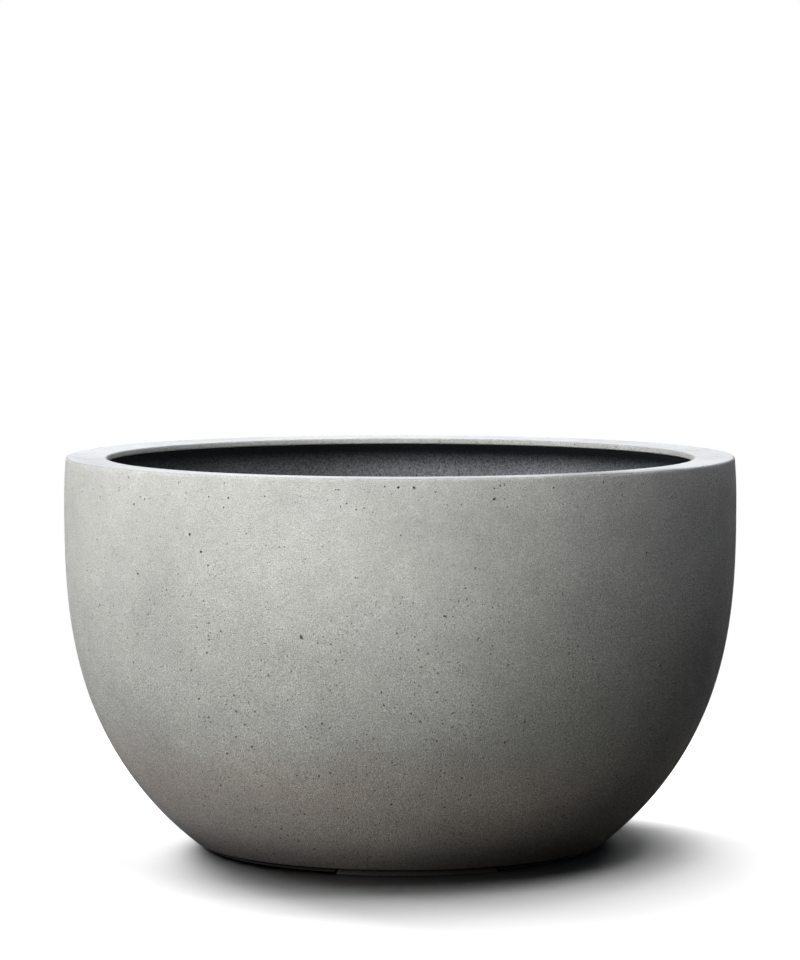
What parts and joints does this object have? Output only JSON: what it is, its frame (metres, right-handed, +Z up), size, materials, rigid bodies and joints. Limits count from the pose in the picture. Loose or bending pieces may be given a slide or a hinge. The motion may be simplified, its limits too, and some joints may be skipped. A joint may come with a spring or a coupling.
{
  "type": "bowl planter",
  "caption": "Round bowl planter in thin fibre concrete: flat rim with a returned lip, dark bonded liner, foot ring with arc pads, and a rubber drain plug that lifts out.",
  "frame": {"origin": "middle of the planter on the ground, under the foot pads", "axes": "+Z up along the bowl's axis; the front, with the first foot pad, is towards -Y; +X to the right of the front"},
  "size_m": [0.6, 0.6, 0.35],
  "materials": {
    "concrete": "matte",
    "liner": "matte",
    "foot_pads": "matte",
    "plug_rubber": "matte"
  },
  "bodies": {
    "planter": {"concrete_shell": "concrete", "fibre_liner": "liner", "foot_pad_1": "foot_pads", "foot_pad_2": "foot_pads", "foot_pad_3": "foot_pads"},
    "plug": {"drain_plug": "plug_rubber"}
  },
  "joints": [
    {"name": "plug_lift", "type": "slide", "parent": "planter", "child": "plug", "axis": [0, 0, 1], "range_m": [0, 0.36]}
  ]
}
